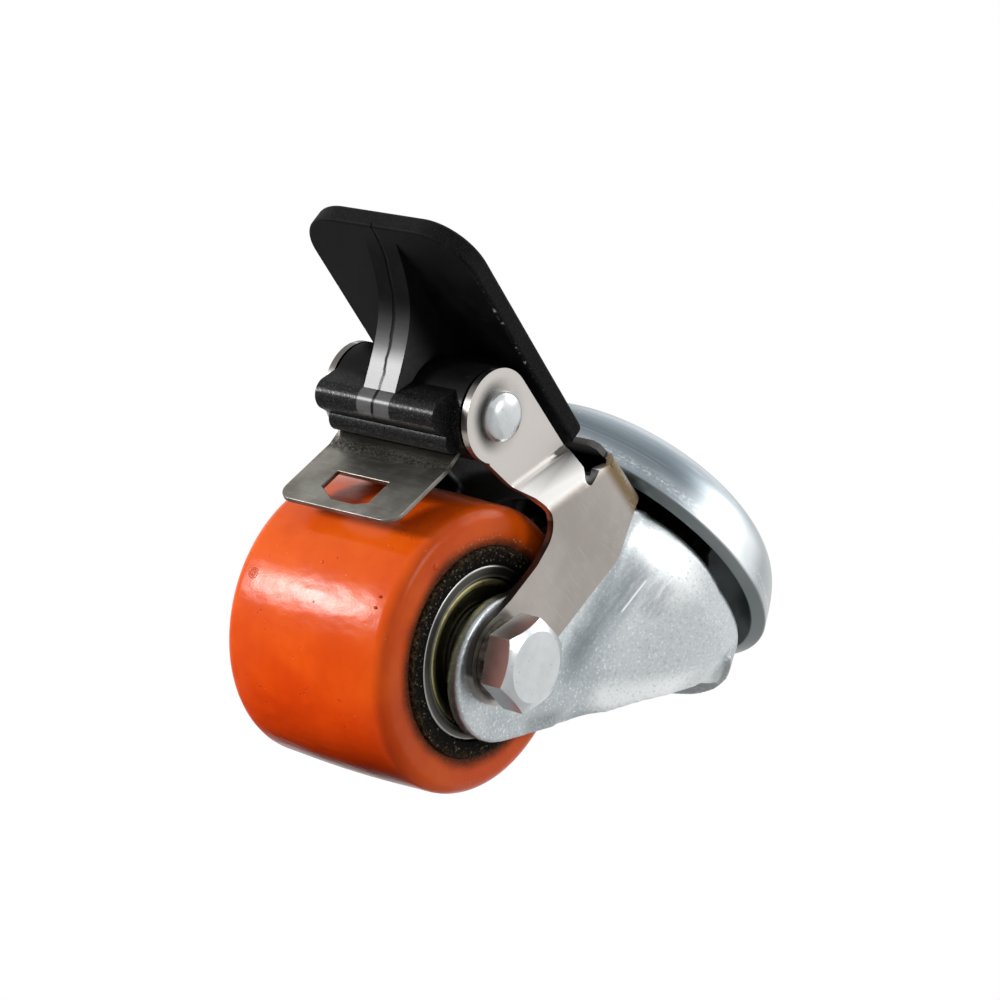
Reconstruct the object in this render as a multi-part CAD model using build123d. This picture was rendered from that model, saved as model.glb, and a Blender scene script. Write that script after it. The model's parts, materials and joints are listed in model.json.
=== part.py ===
from build123d import *
import os
from math import atan2, cos, radians, sin, sqrt, tan

os.makedirs("parts", exist_ok=True)

# Braked swivel castor. Millimetres. Origin at the centre of the mounting face on top of the housing,
# +Z up along the swivel axis, +X the way the wheel trails, +Y along the axle towards the bolt head.

# wheel
WHEEL_DIAMETER = 50.0
TREAD_WIDTH = 36.0
TREAD_THICKNESS = 7.0
TREAD_CROWN = 0.5
TREAD_EDGE_RADIUS = 2.6
TREAD_KEY = 1.2
CORE_PROUD = 0.6

# deep-groove bearings and axle
BEARING_DIAMETER = 30.0
BEARING_BORE = 10.0
BEARING_WIDTH = 9.0
BEARING_BALL = 4.763
BEARING_BALL_COUNT = 8
BEARING_RECESS = 0.3
BEARING_SHOULDER = 2.0
SHIELD_SHEET = 0.4
SHIELD_RECESS = 0.3
AXLE_DIAMETER = 8.0
BOLT_HEAD_ACROSS_FLATS = 14.0
BOLT_HEAD_HEIGHT = 5.4
BOLT_HEAD_TURN = 4.0
SPRING_WASHER_SECTION = 1.6
NUT_ACROSS_FLATS = 13.0
NUT_HEIGHT = 8.0
BOLT_PAST_NUT = 1.2

# swivel head
HOUSING_DIAMETER = 66.1
HOUSING_HEIGHT = 14.0
HOUSING_SHEET = 2.8
HOUSING_FLAT_DIAMETER = 27.0
KING_BORE = 13.0
KING_WALL = 2.5
SWIVEL_BALL = 6.0
SWIVEL_BALL_COUNT = 12
SWIVEL_PITCH_DIAMETER = 27.0
LOWER_BALL = 5.0
LOWER_BALL_COUNT = 14
LOWER_PITCH_DIAMETER = 25.6
RACE_PLATE = 3.0
RACE_EDGE = 0.7
RACE_GROOVE_DEPTH = 0.7
RACE_CUP_WALL = 1.2
KING_NUT_HEIGHT = 4.5

# fork
TRAIL = 33.2
FORK_SHEET = 2.5
HUB_SIDE_GAP = 0.6
CROWN_DROP = 4.0
CROWN_DIAMETER = 61.0
CROWN_EDGE_RADIUS = 2.2
CROWN_LIP = 6.5
CROWN_LIP_FLARE = 1.0
CROWN_TAPER = 0.2514
WHEEL_TOP_CLEARANCE = 12.8
LEG_END_RADIUS = 12.6
LEG_END_BACK = 3.5
LEG_WAIST_AHEAD = 3.2
LEG_WAIST_RISE = 13.0
LEG_SHOULDER_AHEAD = 1.5
LEG_SHOULDER_RISE = 34.0

# brake bracket: the two arms stand at different distances from the middle
BRACKET_SHEET = 1.3
BRACKET_BEND = 1.2
BRACKET_EAR_RADIUS = 8.0
BRACKET_NEAR_ARM = 17.0
BRACKET_FAR_ARM = 15.0
BRACKET_JOG = 2.2
BRACKET_JOG_BEND = 2.0
BRACKET_SHEAR = 0.443
BRIDGE_BEHIND = 34.4
PIVOT_AHEAD = 1.4
PIVOT_RISE = 29.5
RIVET_DIAMETER = 6.0
RIVET_HEAD_DIAMETER = 8.7

# pedal and brake plate
PEDAL_REACH = 32.2
PEDAL_HEEL = 18.6
PEDAL_WIDTH = 36.0
PEDAL_THICKNESS = 3.6
PEDAL_HEIGHT = 13.1
PEDAL_SLOPE = 2.3
PEDAL_CORNER = 9.0
PEDAL_HUB_RADIUS = 8.0
PEDAL_RIB = 7.0
BRAKE_SHEET = 0.9
BRAKE_WIDTH = 26.4
BRAKE_TONGUE = 14.8
BRAKE_CORNER = 3.0
BRAKE_DROP = 11.8
BRAKE_SET_BACK = 1.0

# clearances
TURNING_CLEARANCE = 0.6
GROOVE_CLEARANCE = 0.06
BOLT_CLEARANCE = 0.1
PIVOT_CLEARANCE = 0.3
EAR_CLEARANCE = 0.5
SHIELD_CLEARANCE = 0.35
POCKET_CLEARANCE = 0.05

# positions that follow from the sizes above
WHEEL_R = WHEEL_DIAMETER / 2
CORE_R = WHEEL_R - TREAD_THICKNESS
CORE_Y = TREAD_WIDTH / 2 + CORE_PROUD
RIM_Z = -HOUSING_HEIGHT
CROWN_Z = RIM_Z - CROWN_DROP
AXLE_X = TRAIL
AXLE_Z = CROWN_Z - FORK_SHEET - WHEEL_TOP_CLEARANCE - WHEEL_R
FORK_IN_Y = CORE_Y + HUB_SIDE_GAP
FORK_OUT_Y = FORK_IN_Y + FORK_SHEET
BRACKET_Y = FORK_OUT_Y + BRACKET_SHEET
PIVOT_X = AXLE_X + WHEEL_R + PIVOT_AHEAD
PIVOT_Z = AXLE_Z + PIVOT_RISE
BRIDGE_X = PIVOT_X - BRIDGE_BEHIND
KING_R = KING_BORE / 2 + KING_WALL
SWIVEL_R = KING_R + TURNING_CLEARANCE
SHAFT_R = AXLE_DIAMETER / 2
HOLE_R = SHAFT_R + BOLT_CLEARANCE


def prism(face, y_low, y_high):
    # solid between two planes across the axle from an outline drawn in side view (x, z)
    return Pos(0, y_high, 0) * extrude(Plane.XZ * face, amount=y_high - y_low)


def around_swivel(points):
    return revolve(Plane.XZ * Polygon(*points, align=None), axis=Axis.Z)


def around_axis(points, x, z):
    # points are (radius, y) about an axis along Y
    return Pos(x, 0, z) * revolve(Polygon(*points, align=None), axis=Axis.Y)


def ring(r_in, r_out, y_low, y_high, x=AXLE_X, z=AXLE_Z):
    return around_axis([(r_in, y_low), (r_out, y_low), (r_out, y_high), (r_in, y_high)], x, z)


def rod(r, y_low, y_high, x, z):
    return Pos(x, 0, z) * (Rot(-90, 0, 0) * (Pos(0, 0, (y_low + y_high) / 2) * Cylinder(r, y_high - y_low)))


def disc(r, x, z):
    return Pos(x, z) * Circle(r)


def mirrored(shape):
    return mirror(shape, about=Plane.XZ)


def keep(shape, node):
    export_step(shape, "parts/" + node + ".step")


# top housing: dome of one sheet, its cut rim edge square to the leaning wall
rim_r = HOUSING_DIAMETER / 2
flat_r = HOUSING_FLAT_DIAMETER / 2
edge_in = (rim_r - 0.86 * HOUSING_SHEET, RIM_Z - 0.49 * HOUSING_SHEET)
pull = (-0.164 * HOUSING_HEIGHT, 0.529 * HOUSING_HEIGHT)
shoulder_r = rim_r - 0.182 * HOUSING_HEIGHT
seat_r = SWIVEL_PITCH_DIAMETER / 2 + SWIVEL_BALL / 2 + RACE_EDGE + 0.5
dome_line = [
    Bezier((rim_r, RIM_Z), (rim_r + pull[0], RIM_Z + pull[1]), (shoulder_r, 0), (flat_r, 0)),
    Line((flat_r, 0), (KING_R, 0)),
    Line((KING_R, 0), (KING_R, -HOUSING_SHEET)),
    Line((KING_R, -HOUSING_SHEET), (seat_r, -HOUSING_SHEET)),
    Bezier(
        (seat_r, -HOUSING_SHEET),
        (shoulder_r - HOUSING_SHEET, -HOUSING_SHEET),
        (edge_in[0] + 0.85 * pull[0], edge_in[1] + 0.85 * pull[1]),
        edge_in,
    ),
    Line(edge_in, (rim_r, RIM_Z)),
]
top_housing = revolve(Plane.XZ * make_face(dome_line), axis=Axis.Z)
keep(top_housing, "top_housing")

# swivel head: races, two ball rows, king tube and its nut
pitch_r = SWIVEL_PITCH_DIAMETER / 2
ball_r = SWIVEL_BALL / 2
race_out = pitch_r + ball_r + RACE_EDGE
race_top = -HOUSING_SHEET
race_low = race_top - RACE_PLATE
ball_z = race_low + RACE_GROOVE_DEPTH - ball_r
crown_race_top = ball_z - ball_r + RACE_GROOVE_DEPTH
PLATEAU_Z = crown_race_top - RACE_PLATE + 0.4
groove = Pos(0, 0, ball_z) * Torus(pitch_r, ball_r + GROOVE_CLEARANCE)
upper_race = around_swivel([(KING_R, race_low), (race_out, race_low), (race_out, race_top), (KING_R, race_top)])
keep(upper_race - groove, "upper_race")
crown_race = around_swivel(
    [
        (SWIVEL_R, PLATEAU_Z), (race_out + RACE_CUP_WALL, PLATEAU_Z), (race_out + RACE_CUP_WALL, ball_z),
        (race_out, ball_z), (race_out, crown_race_top), (SWIVEL_R, crown_race_top),
    ]
)
keep(crown_race - groove, "crown_race")
upper_balls = [loc * Sphere(ball_r) for loc in PolarLocations(pitch_r, SWIVEL_BALL_COUNT)]
keep(Pos(0, 0, ball_z) * Compound(children=upper_balls), "swivel_balls_upper")

lower_pitch_r = LOWER_PITCH_DIAMETER / 2
lower_ball_r = LOWER_BALL / 2
lower_out = lower_pitch_r + lower_ball_r + RACE_EDGE
under_top = PLATEAU_Z - FORK_SHEET
under_low = under_top - RACE_PLATE + RACE_GROOVE_DEPTH
lower_ball_z = under_low + RACE_GROOVE_DEPTH - lower_ball_r
lower_race_top = lower_ball_z - lower_ball_r + RACE_GROOVE_DEPTH
lower_race_low = lower_race_top - RACE_PLATE + RACE_GROOVE_DEPTH
king_low = lower_race_low - KING_NUT_HEIGHT
lower_groove = Pos(0, 0, lower_ball_z) * Torus(lower_pitch_r, lower_ball_r + GROOVE_CLEARANCE)
under_race = around_swivel(
    [(SWIVEL_R, under_low), (lower_out, under_low), (lower_out, under_top), (SWIVEL_R, under_top)]
)
keep(under_race - lower_groove, "crown_under_race")
lower_balls = [loc * Sphere(lower_ball_r) for loc in PolarLocations(lower_pitch_r, LOWER_BALL_COUNT)]
keep(Pos(0, 0, lower_ball_z) * Compound(children=lower_balls), "swivel_balls_lower")
lower_race = around_swivel(
    [(KING_R, lower_race_low), (lower_out, lower_race_low), (lower_out, lower_race_top), (KING_R, lower_race_top)]
)
keep(lower_race - lower_groove, "lower_race")
king_nut = Pos(0, 0, king_low) * extrude(RegularPolygon(KING_R + 3.6, 6), KING_NUT_HEIGHT)
keep(king_nut - Pos(0, 0, king_low) * Cylinder(KING_R, 3 * KING_NUT_HEIGHT), "king_nut")
king_tube = around_swivel([(KING_BORE / 2, king_low), (KING_R, king_low), (KING_R, 0), (KING_BORE / 2, 0)])
keep(king_tube, "king_tube")

# fork: crown with a raised centre and a rear lip, cone flanks that run into two flat legs
crown_r = CROWN_DIAMETER / 2
lip_z = CROWN_Z - CROWN_LIP
floor_z = AXLE_Z - 2 * LEG_END_RADIUS
taper_z = CROWN_Z - CROWN_LIP + 0.5
low_r = crown_r - CROWN_TAPER * (taper_z - floor_z)
plateau_r = race_out + RACE_CUP_WALL + 0.1
step_r = plateau_r + 3.5
under_z = CROWN_Z - FORK_SHEET
shell = around_swivel(
    [(0, floor_z), (low_r, floor_z), (crown_r, taper_z), (crown_r, CROWN_Z), (0, CROWN_Z)]
)
shell = fillet(shell.edges().filter_by(GeomType.CIRCLE).group_by(Axis.Z)[-1], CROWN_EDGE_RADIUS)
slab_far_x = AXLE_X + 2 * LEG_END_RADIUS
slab = Pos(slab_far_x / 2, 0, (CROWN_Z + floor_z) / 2) * Box(slab_far_x, 2 * FORK_OUT_Y, CROWN_Z - floor_z)
hollow = around_swivel(
    [
        (0, floor_z - 1),
        (low_r - FORK_SHEET - 0.4, floor_z - 1),
        (crown_r - FORK_SHEET - 0.1, taper_z),
        (crown_r - FORK_SHEET, under_z),
        (0, under_z),
    ]
)
gap_x = slab_far_x + 10
hollow += Pos(gap_x / 2, 0, (under_z + floor_z - 1) / 2) * Box(gap_x, 2 * FORK_IN_Y, under_z - floor_z + 1)
leg_x = AXLE_X - LEG_END_BACK
edge = LEG_END_RADIUS * sqrt(0.5)
lip_x = -0.39 * crown_r
leg_top = CROWN_Z - 1.3
leg_waist = (AXLE_X + LEG_WAIST_AHEAD, AXLE_Z + LEG_WAIST_RISE)
leg_shoulder = (AXLE_X + LEG_SHOULDER_AHEAD, AXLE_Z + LEG_SHOULDER_RISE)
leg_side = Polygon(
    (-crown_r - 5, CROWN_Z + 1),
    (-crown_r - 5, lip_z),
    (-0.7 * crown_r, lip_z),
    (lip_x, lip_z - 5.8),
    (0, lip_z - 18.7),
    (leg_x - edge - 12.8, AXLE_Z - edge + 13.0),
    (leg_x - edge, AXLE_Z - edge),
    (leg_x, AXLE_Z),
    (leg_x + LEG_END_RADIUS, AXLE_Z),
    leg_waist,
    leg_shoulder,
    (AXLE_X + 0.8, leg_top),
    (BRIDGE_X - 1.7, leg_top),
    (BRIDGE_X - 4.7, CROWN_Z),
    (BRIDGE_X - 4.7, CROWN_Z + 1),
    align=None,
)
leg_side = fillet(leg_side.vertices().sort_by_distance((*leg_shoulder, 0))[0], 2.5)
leg_side = fillet(leg_side.vertices().sort_by_distance((*leg_waist, 0))[0], 14)
leg_side = leg_side + disc(LEG_END_RADIUS, leg_x, AXLE_Z)
crown_front = around_swivel([(0, under_z), (crown_r, under_z), (crown_r, CROWN_Z), (0, CROWN_Z)])
crown_front = fillet(crown_front.edges().filter_by(GeomType.CIRCLE).group_by(Axis.Z)[-1], CROWN_EDGE_RADIUS)
lip_top = CROWN_Z - CROWN_EDGE_RADIUS - 0.4
lip = around_swivel(
    [
        (crown_r - FORK_SHEET, lip_z), (crown_r + CROWN_LIP_FLARE, lip_z),
        (crown_r, lip_top), (crown_r - FORK_SHEET, lip_top),
    ]
)
shell += lip & Pos(lip_x - crown_r, 0, lip_z) * Box(2 * crown_r, 4 * crown_r, 4 * CROWN_LIP)
fork = (shell + slab - hollow) & prism(leg_side, -2 * crown_r, 2 * crown_r)
fork = fork + crown_front
fork -= around_swivel(
    [(0, under_z - 0.01), (step_r - 1.2, under_z - 0.01), (plateau_r - 1.2, under_top), (0, under_top)]
)
fork += around_swivel(
    [(SWIVEL_R, under_top), (plateau_r - 1.2, under_top), (step_r - 1.2, under_z), (step_r + 1.2, under_z),
     (step_r, CROWN_Z), (plateau_r, PLATEAU_Z), (SWIVEL_R, PLATEAU_Z)]
)
fork -= Cylinder(SWIVEL_R, 4 * WHEEL_DIAMETER)
fork -= rod(HOLE_R, -2 * FORK_OUT_Y, 2 * FORK_OUT_Y, AXLE_X, AXLE_Z)
keep(fork, "fork")

# wheel: hub moulding with a keyed rim, tyre cast round it
bearing_r = BEARING_DIAMETER / 2
face_y = CORE_Y - BEARING_RECESS
back_y = face_y - BEARING_WIDTH
key_y = TREAD_WIDTH / 4
core = around_axis(
    [
        (bearing_r - BEARING_SHOULDER, -back_y), (bearing_r, -back_y), (bearing_r, -CORE_Y), (CORE_R, -CORE_Y),
        (CORE_R, -key_y), (CORE_R + TREAD_KEY, -key_y + TREAD_KEY), (CORE_R + TREAD_KEY, key_y - TREAD_KEY),
        (CORE_R, key_y), (CORE_R, CORE_Y), (bearing_r, CORE_Y), (bearing_r, back_y),
        (bearing_r - BEARING_SHOULDER, back_y),
    ],
    AXLE_X,
    AXLE_Z,
)
keep(core, "wheel_core")
half = TREAD_WIDTH / 2
edge_r = WHEEL_R - TREAD_CROWN
tread_face = make_face(
    [
        Line((CORE_R, -half), (edge_r, -half)),
        ThreePointArc((edge_r, -half), (WHEEL_R, 0), (edge_r, half)),
        Line((edge_r, half), (CORE_R, half)),
        Line((CORE_R, half), (CORE_R, key_y)),
        Line((CORE_R, key_y), (CORE_R + TREAD_KEY, key_y - TREAD_KEY)),
        Line((CORE_R + TREAD_KEY, key_y - TREAD_KEY), (CORE_R + TREAD_KEY, -key_y + TREAD_KEY)),
        Line((CORE_R + TREAD_KEY, -key_y + TREAD_KEY), (CORE_R, -key_y)),
        Line((CORE_R, -key_y), (CORE_R, -half)),
    ]
)
corners = [v for v in tread_face.vertices() if v.X > CORE_R + TREAD_KEY + 1]
tread_face = fillet(corners, TREAD_EDGE_RADIUS)
tread = Pos(AXLE_X, 0, AXLE_Z) * revolve(tread_face, axis=Axis.Y)
keep(tread, "tread")

# bearings
mid_y = face_y - BEARING_WIDTH / 2
pitch = (BEARING_DIAMETER + BEARING_BORE) / 4
bore_r = BEARING_BORE / 2
inner_out = pitch - 0.315 * BEARING_BALL
outer_in = pitch + 0.44 * BEARING_BALL
shield_r = outer_in + 0.7
shield_in = inner_out + SHIELD_CLEARANCE
bearing_groove = Pos(AXLE_X, mid_y, AXLE_Z) * (Rot(90, 0, 0) * Torus(pitch, BEARING_BALL / 2 + GROOVE_CLEARANCE))
deep = SHIELD_RECESS + SHIELD_SHEET
inner_ring = ring(bore_r, inner_out, back_y, face_y) - bearing_groove
outer_ring = ring(outer_in, bearing_r, back_y, face_y) - bearing_groove
outer_ring -= ring(outer_in - 1, shield_r, face_y - deep, face_y + 1)
outer_ring -= ring(outer_in - 1, shield_r, back_y - 1, back_y + deep)
shield_out = ring(shield_in, shield_r, face_y - deep, face_y - SHIELD_RECESS)
shield_back = ring(shield_in, shield_r, back_y + SHIELD_RECESS, back_y + deep)
ball_places = [Rot(0, 360 * k / BEARING_BALL_COUNT, 0) * Pos(pitch, 0, 0) for k in range(BEARING_BALL_COUNT)]
balls = Compound(children=[Pos(AXLE_X, mid_y, AXLE_Z) * (p * Sphere(BEARING_BALL / 2)) for p in ball_places])
cage_half = BEARING_BALL / 2 + 0.55
cage = ring(pitch - 0.6, pitch + 0.6, mid_y - cage_half, mid_y + cage_half)
for p in ball_places:
    pocket = Rot(0, 90, 0) * Cylinder(BEARING_BALL / 2 + POCKET_CLEARANCE, 4)
    cage -= Pos(AXLE_X, mid_y, AXLE_Z) * (p * pocket)
for name, shape in (
    ("bearing_inner", inner_ring),
    ("bearing_outer", outer_ring),
    ("bearing_balls", balls),
    ("bearing_cage", cage),
):
    keep(shape, name + "_near")
    keep(mirrored(shape), name + "_far")
keep(shield_out, "bearing_shield_near_out")
keep(shield_back, "bearing_shield_near_in")
keep(mirrored(shield_back), "bearing_shield_far_in")
keep(mirrored(shield_out), "bearing_shield_far_out")

# axle stack
keep(ring(HOLE_R, bore_r, -FORK_IN_Y, FORK_IN_Y), "axle_sleeve")
keep(ring(bore_r, bore_r + 1.6, -back_y, back_y), "inner_spacer")
keep(ring(bore_r, bore_r + 2.4, face_y, FORK_IN_Y), "end_spacer_near")
keep(ring(bore_r, bore_r + 2.4, -FORK_IN_Y, -face_y), "end_spacer_far")
washer_y = BRACKET_Y + SPRING_WASHER_SECTION
spring_washer = ring(HOLE_R + 0.1, HOLE_R + 2.9, BRACKET_Y, washer_y)
slit = Pos(AXLE_X, BRACKET_Y + SPRING_WASHER_SECTION / 2, AXLE_Z) * (
    Rot(0, 115, 0) * (Rot(25, 0, 0) * (Pos(6, 0, 0) * Box(12, 8, 0.8)))
)
keep(spring_washer - slit, "spring_washer")
keep(ring(HOLE_R + 0.1, 2 * SHAFT_R, -washer_y, -BRACKET_Y), "nut_washer")


def hex_block(across_flats, y_low, y_high, turn):
    body = extrude(RegularPolygon(across_flats / 2, 6, major_radius=False, rotation=turn), y_high - y_low)
    return Pos(AXLE_X, y_low, AXLE_Z) * (Rot(-90, 0, 0) * body)


head_top = washer_y + BOLT_HEAD_HEIGHT
corner_r = BOLT_HEAD_ACROSS_FLATS / 2 / cos(radians(30))
chamfer_r = 0.43 * BOLT_HEAD_ACROSS_FLATS
head = hex_block(BOLT_HEAD_ACROSS_FLATS, washer_y, head_top, BOLT_HEAD_TURN)
head &= around_axis(
    [
        (0, washer_y), (corner_r + 1, washer_y),
        (corner_r + 1, head_top - (corner_r + 1 - chamfer_r) * tan(radians(30))),
        (chamfer_r, head_top), (0, head_top),
    ],
    AXLE_X,
    AXLE_Z,
)
nut_y = -washer_y - NUT_HEIGHT
bolt_end = nut_y - BOLT_PAST_NUT
shank = around_axis(
    [(0, bolt_end), (SHAFT_R - 0.8, bolt_end), (SHAFT_R, bolt_end + 0.8), (SHAFT_R, washer_y + 0.1), (0, washer_y + 0.1)],
    AXLE_X,
    AXLE_Z,
)
keep(head + shank, "axle_bolt")
nut_flat = nut_y + 0.3 * NUT_HEIGHT
nut_corner = NUT_ACROSS_FLATS / 2 / cos(radians(30))
nut = hex_block(NUT_ACROSS_FLATS, nut_flat, -washer_y, 12)
nut &= around_axis(
    [(0, nut_flat), (nut_corner - 1, nut_flat), (nut_corner, nut_flat + 0.6), (nut_corner, -washer_y), (0, -washer_y)],
    AXLE_X,
    AXLE_Z,
)
nut += around_axis(
    [
        (SHAFT_R, nut_y), (NUT_ACROSS_FLATS / 2 - 1.2, nut_y), (NUT_ACROSS_FLATS / 2 - 0.4, nut_y + 0.9),
        (NUT_ACROSS_FLATS / 2 - 0.4, nut_flat + 0.3), (SHAFT_R, nut_flat + 0.3),
    ],
    AXLE_X,
    AXLE_Z,
)
keep(nut - rod(SHAFT_R, nut_y - 1, 0, AXLE_X, AXLE_Z), "axle_nut")

# brake bracket: bridge on the crown, side plates outside the legs, jogged in to the arms with the ears
bridge_low = CROWN_Z
bridge_top = CROWN_Z + BRACKET_SHEET
bend_out = BRACKET_BEND + BRACKET_SHEET
bend_y = BRACKET_Y - bend_out
bend_z = bridge_top - bend_out
bridge_back = BRIDGE_X
bridge_front = bridge_back + 11.0
jog_x = bridge_back + 11.3
top_ref = RIM_Z
tab_r = BRACKET_EAR_RADIUS
depth = top_ref - AXLE_Z + 2 * tab_r
strip_back = AXLE_X - tab_r - BRACKET_SHEAR * depth
strip_front = PIVOT_X + 2 * tab_r
arm_top = PIVOT_Z + tab_r
notch_low = bend_z - 6.1
plate_foot = (AXLE_X + 5.9, AXLE_Z + 22.8)
side = Polygon(
    (bridge_back, bend_z),
    (bridge_back - 3.5, CROWN_Z - 10.4),
    (AXLE_X - 8.9, AXLE_Z + 11.3),
    (AXLE_X - tab_r, AXLE_Z),
    (AXLE_X + tab_r, AXLE_Z),
    (AXLE_X + 6.3, AXLE_Z + 7.5),
    (AXLE_X + 5.3, AXLE_Z + 15.5),
    plate_foot,
    (PIVOT_X - 14.6, PIVOT_Z - 5.2),
    (PIVOT_X - 4.6, PIVOT_Z - 6.9),
    (PIVOT_X, PIVOT_Z),
    (PIVOT_X, arm_top),
    (bridge_front + 5.1, arm_top - 0.3),
    (bridge_front + 3.5, arm_top - 2.1),
    (bridge_front + 3.1, notch_low),
    (bridge_front + 1.5, notch_low),
    (bridge_front + 1.4, bend_z - 2.2),
    (bridge_front, bend_z),
    align=None,
)
for x, z, r in (
    (*plate_foot, 5.0),
    (bridge_front + 5.1, arm_top - 0.3, 1.2),
    (bridge_front + 3.1, notch_low, 0.75),
    (bridge_front + 1.5, notch_low, 0.75),
    (bridge_front + 1.4, bend_z - 2.2, 1.0),
    (bridge_back - 3.5, CROWN_Z - 10.4, 5.0),
    (AXLE_X + 5.3, AXLE_Z + 15.5, 6.0),
):
    side = fillet(side.vertices().sort_by_distance((x, z, 0))[0], r)
side = side + disc(tab_r, AXLE_X, AXLE_Z) + disc(tab_r, PIVOT_X, PIVOT_Z)
side -= disc(HOLE_R, AXLE_X, AXLE_Z)
side -= disc(RIVET_DIAMETER / 2 + BOLT_CLEARANCE, PIVOT_X, PIVOT_Z)


def cheek(arm_y):
    # side plate outside one leg, jogged in to the arm with the ear
    slip = BRACKET_SHEET * tan(atan2(BRACKET_Y - arm_y, 2 * BRACKET_JOG) / 2)
    plan = Polygon(
        (strip_back, BRACKET_Y),
        (jog_x - BRACKET_JOG, BRACKET_Y),
        (jog_x + BRACKET_JOG, arm_y),
        (strip_front, arm_y),
        (strip_front, arm_y - BRACKET_SHEET),
        (jog_x + BRACKET_JOG - slip, arm_y - BRACKET_SHEET),
        (jog_x - BRACKET_JOG - slip, BRACKET_Y - BRACKET_SHEET),
        (strip_back, BRACKET_Y - BRACKET_SHEET),
        align=None,
    )
    for x, y, r in (
        (jog_x - BRACKET_JOG, BRACKET_Y, BRACKET_JOG_BEND + BRACKET_SHEET),
        (jog_x + BRACKET_JOG, arm_y, BRACKET_JOG_BEND),
        (jog_x + BRACKET_JOG - slip, arm_y - BRACKET_SHEET, BRACKET_JOG_BEND + BRACKET_SHEET),
        (jog_x - BRACKET_JOG - slip, BRACKET_Y - BRACKET_SHEET, BRACKET_JOG_BEND),
    ):
        plan = fillet(plan.vertices().sort_by_distance((x, y, 0))[0], r)
    strip = Pos(0, 0, top_ref) * extrude(plan, amount=depth, dir=(BRACKET_SHEAR, 0, -1))
    return strip & prism(side, 0, BRACKET_Y + 5)


bend_face = Pos(bend_y, bend_z) * (Circle(bend_out) - Circle(BRACKET_BEND))
bend_face &= Pos(bend_y + bend_out / 2, bend_z + bend_out / 2) * Rectangle(bend_out, bend_out)
bend = Pos(bridge_back, 0, 0) * extrude(Plane.YZ * bend_face, amount=bridge_front - bridge_back)
bridge_plan = Polygon(
    (bridge_back, -bend_y), (bridge_front, -bend_y), (bridge_front + 1.8, -bend_y + 0.5),
    (bridge_front + 2.6, -bend_y + 1.6), (bridge_front + 2.6, bend_y - 1.6), (bridge_front + 1.8, bend_y - 0.5),
    (bridge_front, bend_y), (bridge_back, bend_y),
    align=None,
)
bridge = Pos(0, 0, bridge_low) * extrude(bridge_plan, amount=BRACKET_SHEET)
bracket = bridge + cheek(BRACKET_NEAR_ARM) + mirrored(cheek(BRACKET_FAR_ARM)) + bend + mirrored(bend)
keep(bracket, "brake_bracket")

# pivot rivet, near head slightly domed, far end formed over
rivet_r = RIVET_DIAMETER / 2
head_r = RIVET_HEAD_DIAMETER / 2
near_y = BRACKET_NEAR_ARM
far_y = -BRACKET_FAR_ARM
rivet = around_axis(
    [
        (0, far_y - 1.7), (head_r - 1.2, far_y - 1.7), (head_r - 0.3, far_y - 0.9), (head_r - 0.3, far_y),
        (rivet_r, far_y), (rivet_r, near_y), (head_r, near_y), (head_r, near_y + 1.6), (head_r - 0.5, near_y + 2.1),
        (head_r - 2, near_y + 2.4), (0, near_y + 2.6),
    ],
    PIVOT_X,
    PIVOT_Z,
)
keep(rivet, "pivot_rivet")

# pedal: sloping tread plate, middle rib, hub between the ears with two rolls across its underside
hub_near = BRACKET_NEAR_ARM - BRACKET_SHEET - EAR_CLEARANCE
hub_far = -BRACKET_FAR_ARM + BRACKET_SHEET + EAR_CLEARANCE
tip_x = PIVOT_X + PEDAL_REACH
heel_x = PIVOT_X - PEDAL_HEEL
length = tip_x - heel_x
plate_plan = Pos(length / 2 - PEDAL_HEEL, 0) * Rectangle(length, PEDAL_WIDTH)
tip_corners = plate_plan.vertices().group_by(Axis.X)[-1]
plate_plan = fillet(tip_corners, PEDAL_CORNER)
plate_plan = fillet(plate_plan.vertices().group_by(Axis.X)[0], 2.5)
plate = extrude(plate_plan, amount=PEDAL_THICKNESS)
plate = fillet(plate.faces().sort_by(Axis.Z)[-1].edges(), 0.8)
plate = fillet(plate.faces().sort_by(Axis.Z)[0].edges(), 0.6)
plate_low = PEDAL_HEIGHT - PEDAL_THICKNESS
plate = Pos(PIVOT_X, 0, PIVOT_Z) * (Rot(0, -PEDAL_SLOPE, 0) * (Pos(0, 0, plate_low) * plate))
under_line = PIVOT_Z + plate_low + 1.0
rib_face = make_face(
    [
        Spline(
            (tip_x - 1.5, PIVOT_Z + 11.2),
            (PIVOT_X + 22.2, PIVOT_Z + 8.6),
            (PIVOT_X + 17.2, PIVOT_Z + 5.7),
            (PIVOT_X + 12.5, PIVOT_Z - 0.3),
            (PIVOT_X + 8.6, PIVOT_Z - 7.5),
        ),
        Line((PIVOT_X + 8.6, PIVOT_Z - 7.5), (PIVOT_X, PIVOT_Z - 5)),
        Line((PIVOT_X, PIVOT_Z - 5), (PIVOT_X, under_line)),
        Line((PIVOT_X, under_line), (tip_x - 1.5, PIVOT_Z + 11.2)),
    ]
)
rib = prism(rib_face, -PEDAL_RIB / 2, PEDAL_RIB / 2)
barrel = disc(PEDAL_HUB_RADIUS, PIVOT_X, PIVOT_Z)
nose = make_hull(disc(2.8, PIVOT_X + 6.9, PIVOT_Z - 6.6).edges() + disc(6.6, PIVOT_X, PIVOT_Z).edges())
roll = make_hull(disc(2.3, PIVOT_X + 1.6, PIVOT_Z - 7.4).edges() + disc(5.2, PIVOT_X, PIVOT_Z).edges())
lobes = prism(nose + roll, hub_far + 0.2, hub_near - 2.0)
hub = prism(barrel, hub_far, hub_near)
web_face = Polygon(
    (PIVOT_X - 7, PIVOT_Z), (PIVOT_X + 1.5, PIVOT_Z), (PIVOT_X + 1.5, under_line), (PIVOT_X - 7, under_line), align=None
)
web = prism(web_face, hub_far + 1, hub_near - 3)
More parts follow.
